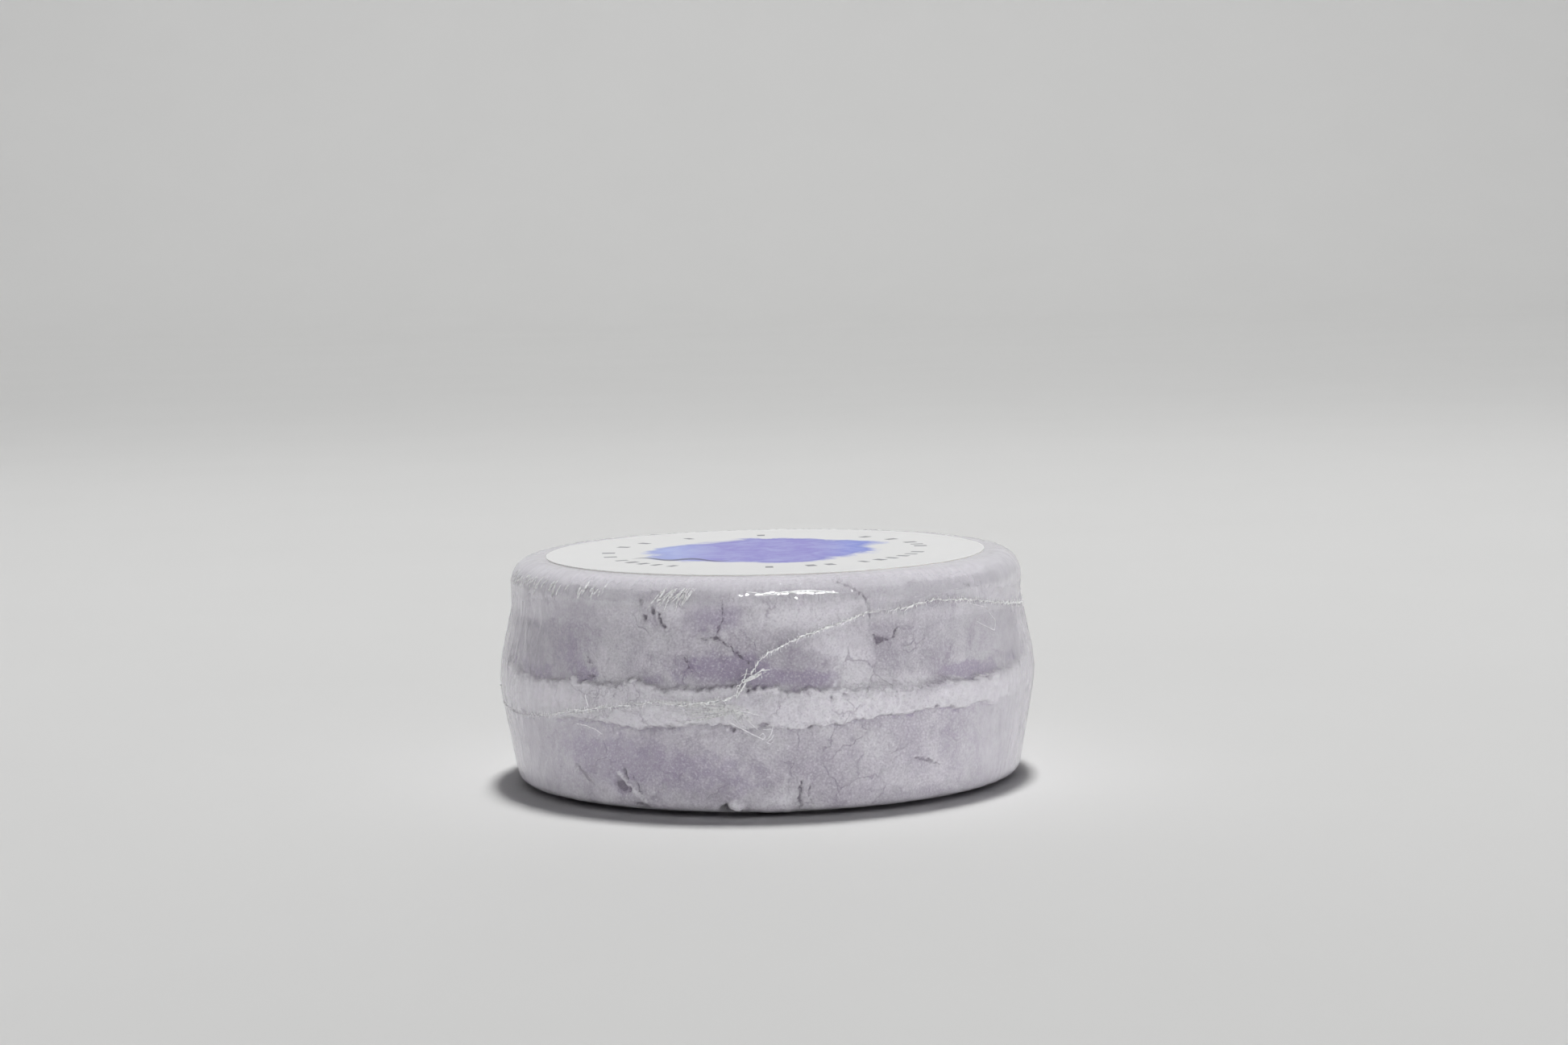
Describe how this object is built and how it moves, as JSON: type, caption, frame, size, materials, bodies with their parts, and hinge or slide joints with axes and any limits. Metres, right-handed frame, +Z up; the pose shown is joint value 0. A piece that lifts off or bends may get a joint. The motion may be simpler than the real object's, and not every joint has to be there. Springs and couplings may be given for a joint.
{
  "type": "shaving soap puck",
  "caption": "Round pressed soap puck in clear shrink film, with a raised middle band, a slanting film weld, and a round paper label on the top and the base.",
  "frame": {"origin": "centre of the base, on the surface that the puck stands on", "axes": "+Z up along the puck's axis, -Y towards the front, where the film's most visible ear is, +X to the right, the side on which the film's weld climbs"},
  "size_m": [0.062, 0.0621, 0.0261],
  "materials": {
    "soap": "waxy, faintly mottled lilac-grey pressed soap",
    "film": "clear glossy shrink film with fine wrinkles",
    "weld": "melted and drawn clear film, whitish where it is folded",
    "label_paper": "white smooth uncoated label paper",
    "label_glue": "thin clear adhesive"
  },
  "bodies": {
    "root": {"soap_cake": "soap", "film_upper_web": "film", "film_lower_web": "film", "film_weld_bead": "weld", "film_ear_front": "weld", "film_ear_right": "weld", "film_ear_back": "weld", "film_ear_left": "weld", "base_label_paper": "label_paper", "base_label_glue": "label_glue", "top_label_glue": "label_glue", "top_label_paper": "label_paper"}
  },
  "joints": []
}
